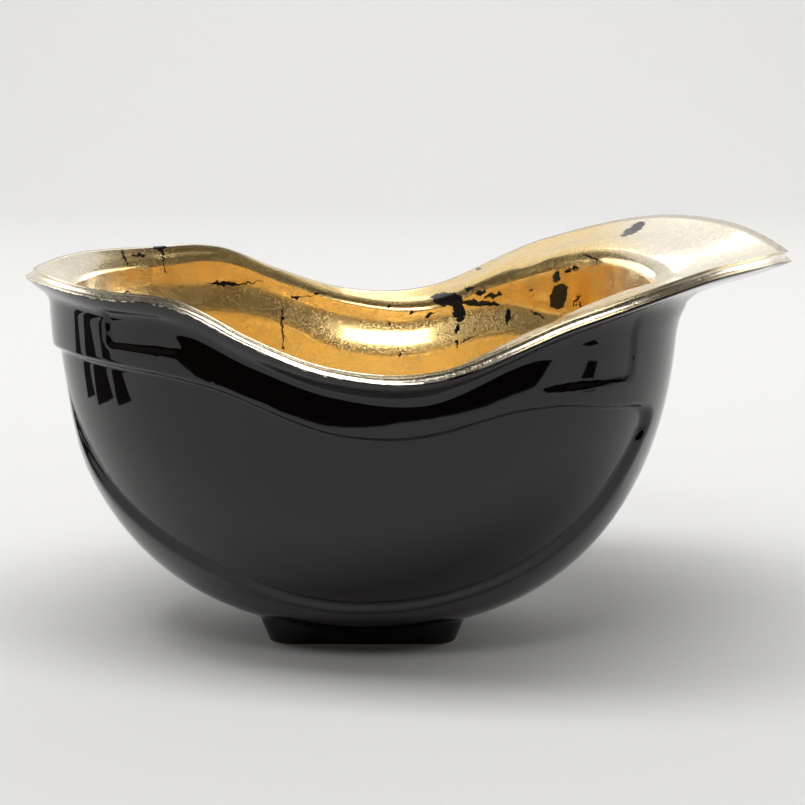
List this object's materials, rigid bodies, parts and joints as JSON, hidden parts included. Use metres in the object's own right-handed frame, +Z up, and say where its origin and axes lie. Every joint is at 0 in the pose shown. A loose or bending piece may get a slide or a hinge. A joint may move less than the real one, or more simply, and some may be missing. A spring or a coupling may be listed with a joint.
{
  "type": "bowl",
  "caption": "Black-glazed ceramic bowl cast from the upturned shell of a safety hat, gilded inside, with a broad lip at the peak and a small foot.",
  "frame": {"origin": "middle of the foot's flat underside, on the table", "axes": "+X towards the broad peak, along the bowl's length; +Y across the bowl; +Z up"},
  "size_m": [0.2789, 0.2164, 0.1472],
  "materials": {
    "black_glaze": "high gloss black glaze outside, gold leaf inside and over the lip, bare clay on the foot's edge"
  },
  "bodies": {
    "root": {"bowl": "black_glaze"}
  },
  "joints": []
}
